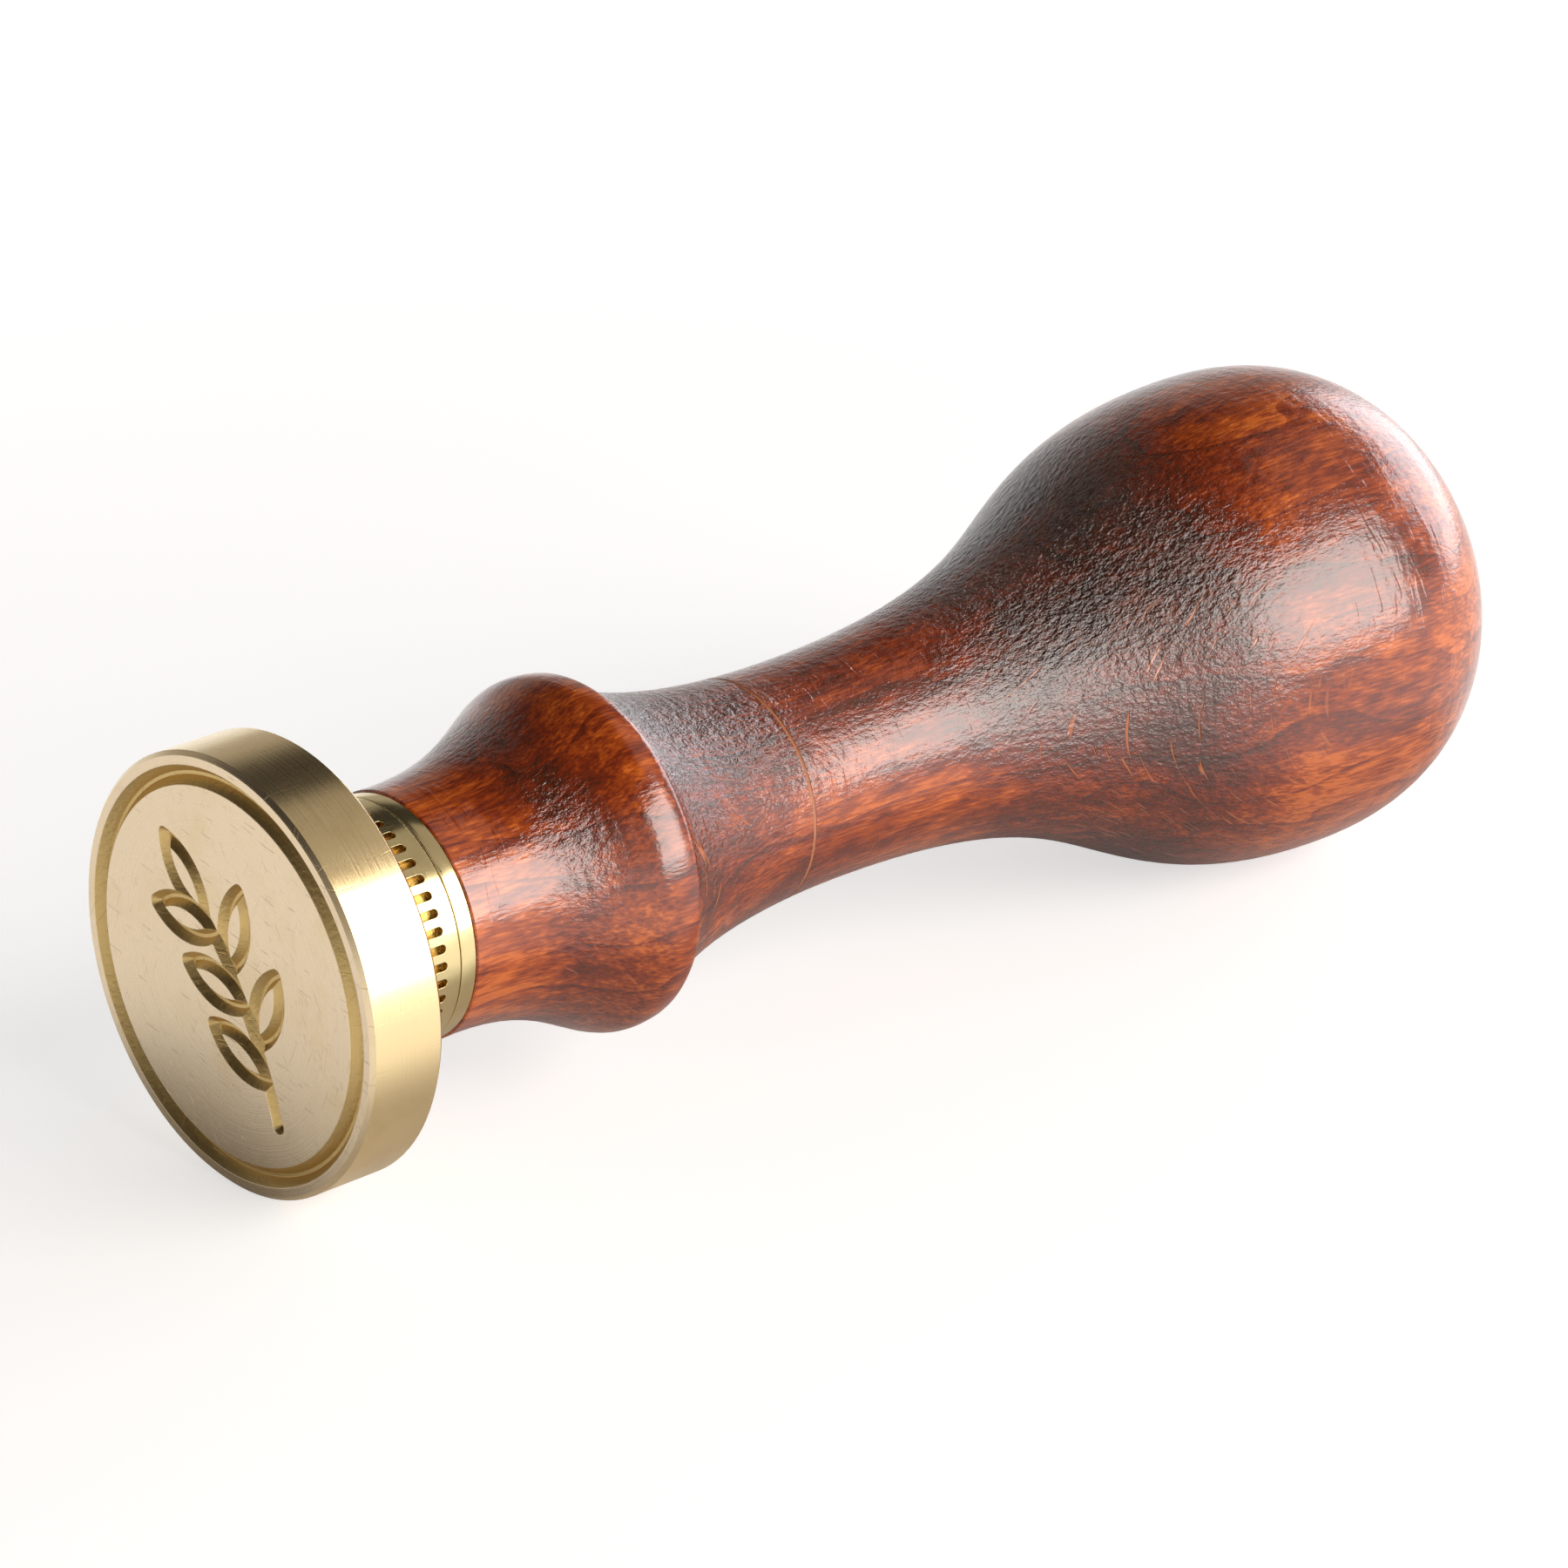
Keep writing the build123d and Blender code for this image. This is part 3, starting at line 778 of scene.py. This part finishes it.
def brass(name, wall, face, tarnish_and_shade_tone, wall_polish, face_polish, line_depth, cut_middle, cut_reach, cut_radius):
    """Turned brass, dull and painted in shade where a cutter worked: near one station along the axis and
    inside a radius.
    """
    material, tree, surface = new_material(name)
    place = add(tree, "ShaderNodeTexCoord")
    travel, flat, was_cut = tool_zones(tree, place, cut_middle, cut_reach, cut_radius)
    lines, height = tool_marks(tree, place, travel, flat, was_cut, line_depth)

    polish = add(tree, "ShaderNodeMapRange", {"Value": flat},
                 {"To Min": wall_polish, "To Max": face_polish})
    streaky = add(tree, "ShaderNodeMath", {0: lines}, {1: LINES_TO_ONE}, operation="ADD")
    polish = add(tree, "ShaderNodeMath", {0: polish.outputs["Result"], 1: streaky.outputs[0]},
                 operation="MULTIPLY")
    polish = add(tree, "ShaderNodeMath", {0: was_cut, 2: polish.outputs[0]}, {1: CUT_DULLING},
                 operation="MULTIPLY_ADD")

    handling = add(tree, "ShaderNodeTexNoise", {"Vector": place.outputs["Object"]},
                   {"Scale": 1 / (HANDLING_SIZE * MM), "Detail": 4.0, "Roughness": 0.6})
    tarnish_and_shade = add(tree, "ShaderNodeMapRange", {"Value": handling.outputs["Fac"]},
                  {"From Min": TARNISH_PATCHES[0], "From Max": TARNISH_PATCHES[1],
                   "To Min": 0.0, "To Max": MOST_TARNISH})
    # Painted shade: wherever a cutter worked, the tone goes fully to the darker, browner colour.
    tarnish_and_shade = add(tree, "ShaderNodeMath", {0: tarnish_and_shade.outputs["Result"], 1: was_cut}, operation="MAXIMUM")
    tone = add(tree, "ShaderNodeMix", {0: flat}, {6: colour(wall), 7: colour(face)}, data_type="RGBA")
    tone = add(tree, "ShaderNodeMix", {0: tarnish_and_shade.outputs[0], 6: tone.outputs[2]}, {7: colour(tarnish_and_shade_tone)},
               data_type="RGBA")

    edges = add(tree, "ShaderNodeBevel", values={"Radius": EDGE_WEAR}, samples=EDGE_SAMPLES)
    relief = add(tree, "ShaderNodeBump", {"Height": height, "Normal": edges.outputs["Normal"]},
                 {"Strength": 1.0, "Distance": MM})
    round_axis = add(tree, "ShaderNodeTangent", direction_type="RADIAL", axis="X")
    metal = add(tree, "ShaderNodeBsdfPrincipled",
                {"Base Color": tone.outputs[2], "Roughness": polish.outputs[0],
                 "Normal": relief.outputs["Normal"], "Tangent": round_axis.outputs["Tangent"]},
                {"Metallic": 1.0, "Anisotropic": TURNED_SPREAD})
    tree.links.new(metal.outputs["BSDF"], surface.inputs["Surface"])
    return material


print("brass:", LINE_PITCH, "mm tool lines, edges worn by", EDGE_WEAR / MM, "mm")

# %% [markdown]
# ## Disc and hub
# The engraved disc and the reeded hub keep their CAD meshes, because their cut shapes are already exact
# there. They only get their brass. On the disc the dull zone, painted darker as shade too, is the depth of
# the engraving and its border groove, and on the hub it is everything below the outer wall, which is the
# floor of each slot.

# %% Dress the disc and the hub
ENGRAVING_MIDDLE, ENGRAVING_REACH = 0.82 * MM, 0.8 * MM
RIM_SHARE = 0.97
ANY_STATION = 1.0
SLOT_LIP = 0.05 * MM

# The disc's face is greyer than its wall: partly the lapped face's own tone, partly painted shade for the
# shaded paper it mirrors.
die_brass = brass("brass_turned_and_engraved", wall="EED6A4", face="D6C2A4", tarnish_and_shade_tone="C4A870",
                  wall_polish=0.2, face_polish=0.27, line_depth=0.006,
                  cut_middle=ENGRAVING_MIDDLE, cut_reach=ENGRAVING_REACH, cut_radius=die_radius * RIM_SHARE)
hub_brass = brass("brass_turned_and_reeded", wall="E6D39E", face="E6D39E", tarnish_and_shade_tone="A88A4A",
                  wall_polish=0.15, face_polish=0.2, line_depth=0.002,
                  cut_middle=0.0, cut_reach=ANY_STATION, cut_radius=hub_radius - SLOT_LIP)
for node, material in (("die_disc", die_brass), ("threaded_hub", hub_brass)):
    frame["nodes"][node].data.materials.clear()
    frame["nodes"][node].data.materials.append(material)
    print(node, "in", material.name)

# %% [markdown]
# ## The collar
# A thin brass washer keeps the hub off the wood. It is turned from bar, so it is made on the same mesh
# lathe, as a loop round its bore, with its outer edges rolled over a little so that they catch a line of
# light. No cutter touched it, so its dull zone has no radius.

# %% Turn the collar
COLLAR_SEGMENTS = 160
EDGE_ROLL = 0.06 * MM
ROLL_STEPS = 5

stations, radii = on_lathe("collar_washer")
low, high = stations.min(), stations.max()
bore, rim = radii.min(), radii.max()
collar_outline = [(high, bore), (low, bore)]
for middle, first_angle in ((low + EDGE_ROLL, -90), (high - EDGE_ROLL, 0)):
    for step in range(ROLL_STEPS + 1):
        turn = math.radians(first_angle + 90 * step / ROLL_STEPS)
        roll_station = middle + EDGE_ROLL * math.sin(turn)
        roll_radius = rim - EDGE_ROLL + EDGE_ROLL * math.cos(turn)
        collar_outline.append((roll_station, roll_radius))
collar = turn_on_lathe("brass_collar", collar_outline, COLLAR_SEGMENTS)
collar.data.materials.append(brass("brass_turned_washer", wall="E6D39E", face="E6D39E", tarnish_and_shade_tone="B79A63",
                                   wall_polish=0.15, face_polish=0.2, line_depth=0.002,
                                   cut_middle=0.0, cut_reach=ANY_STATION, cut_radius=0.0))
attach(collar, "collar")
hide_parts("collar_washer")
print(f"collar: {2 * rim / MM:.1f} mm wide, {(high - low) / MM:.2f} mm thick")

# %% [markdown]
# ## The stud
# A hanger bolt holds the head on. One half has a machine screw thread for the brass, the other a coarse
# thread that bites into the wood. It shows only when the head is unscrewed. The CAD stud is its plain
# outer envelope, and here the two threads are cut into that envelope: each ring's radius dips where the
# groove passes it. A modifier could wind a thread as well, but cutting inwards keeps the stud inside the
# solid it stands for.

# %% Cut the threads
STUD_SEGMENTS = 64
MACHINE_PITCH, MACHINE_DEPTH = 1.0 * MM, 0.6 * MM
MACHINE_CREST, MACHINE_FLANK = 0.12, 0.68
MACHINE_STEP = 0.06 * MM
WOOD_PITCH, WOOD_DEPTH = 2.5 * MM, 0.9 * MM
WOOD_CREST, WOOD_FLANK = 0.05, 0.4
WOOD_STEP = 0.12 * MM
SHOULDER_STEP = 0.002 * MM
POINT_ROWS = 40

stations, radii = on_lathe("stud")
machine_radius = radii.max()
is_machine = radii > machine_radius - SAME
tip_chamfer, shoulder = stations[is_machine].min(), stations[is_machine].max()
wood_radius = radii[abs(stations - shoulder) < SAME].min()
taper_start = stations[abs(radii - wood_radius) < SAME].max()
tip, point = stations.min(), stations.max()
tip_radius = radii[stations < tip + SAME].max()


def threads(stations, radii, angles):
    """Radii with a right-handed groove: a V for the brass, thin crests over a wide root for the wood."""
    coarse = stations > shoulder
    pitch = np.where(coarse, WOOD_PITCH, MACHINE_PITCH)
    from_crest = abs((stations / pitch - angles / (2 * math.pi)) % 1 - 0.5) * 2
    vee = machine_radius - MACHINE_DEPTH * np.clip((from_crest - MACHINE_CREST) / MACHINE_FLANK, 0, 1)
    root = 1 - WOOD_DEPTH / wood_radius * np.clip((from_crest - WOOD_CREST) / WOOD_FLANK, 0, 1)
    return np.where(coarse, radii * root, np.minimum(radii, vee))


stud_outline = [(tip, 0), (tip, tip_radius), (tip_chamfer, machine_radius)]
stud_outline += [(s, machine_radius) for s in np.arange(tip_chamfer, shoulder, MACHINE_STEP)[1:]]
stud_outline += [(shoulder, machine_radius), (shoulder + SHOULDER_STEP, wood_radius)]
stud_outline += [(s, wood_radius) for s in np.arange(shoulder, taper_start, WOOD_STEP)[1:]]
for taper in np.linspace(0, 1, POINT_ROWS):
    stud_outline.append((taper_start + (point - taper_start) * taper, wood_radius * (1 - taper)))
stud = turn_on_lathe("threaded_stud", stud_outline, STUD_SEGMENTS, threads)
print(f"stud: {(point - tip) / MM:.1f} mm long, {len(stud.data.vertices)} vertices")

# %% [markdown]
# ## Zinc plate
# The stud is steel, rolled and then plated in a zinc bath. To the eye that is a light, slightly blue grey
# metal, less sharp than the brass, with a faint cloudiness where the crystals of the plating differ. One
# noise of that grain's size drives both its tone and its roughness.

# %% Plate the stud
CRYSTAL_SIZE = 0.6
ZINC_ROUGHNESS = (0.22, 0.42)

zinc, tree, surface = new_material("steel_rolled_and_zinc_plated")
place = add(tree, "ShaderNodeTexCoord")
crystals = add(tree, "ShaderNodeTexNoise", {"Vector": place.outputs["Object"]},
               {"Scale": 1 / (CRYSTAL_SIZE * MM), "Detail": 3.0, "Roughness": 0.6})
plating = add(tree, "ShaderNodeValToRGB", {"Fac": crystals.outputs["Fac"]},
              stops=[(0.3, "A9ABAD"), (0.7, "C9CACB")])
cloudiness = add(tree, "ShaderNodeMapRange", {"Value": crystals.outputs["Fac"]},
                 {"To Min": ZINC_ROUGHNESS[0], "To Max": ZINC_ROUGHNESS[1]})
metal = add(tree, "ShaderNodeBsdfPrincipled",
            {"Base Color": plating.outputs["Color"], "Roughness": cloudiness.outputs["Result"]},
            {"Metallic": 1.0})
tree.links.new(metal.outputs["BSDF"], surface.inputs["Surface"])
stud.data.materials.append(zinc)
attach(stud, "handle")
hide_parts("stud")
print("stud in", zinc.name)

# %% [markdown]
# ## Sizes
# The dressed stamp has to stay inside the CAD model's box.

# %% Measure the sizes
visual_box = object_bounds()
growth = [round((v - c) / MM, 3) for v, c in zip(visual_box[1], cad_box[1])]
print("the box's far corner moved by", growth, "mm")
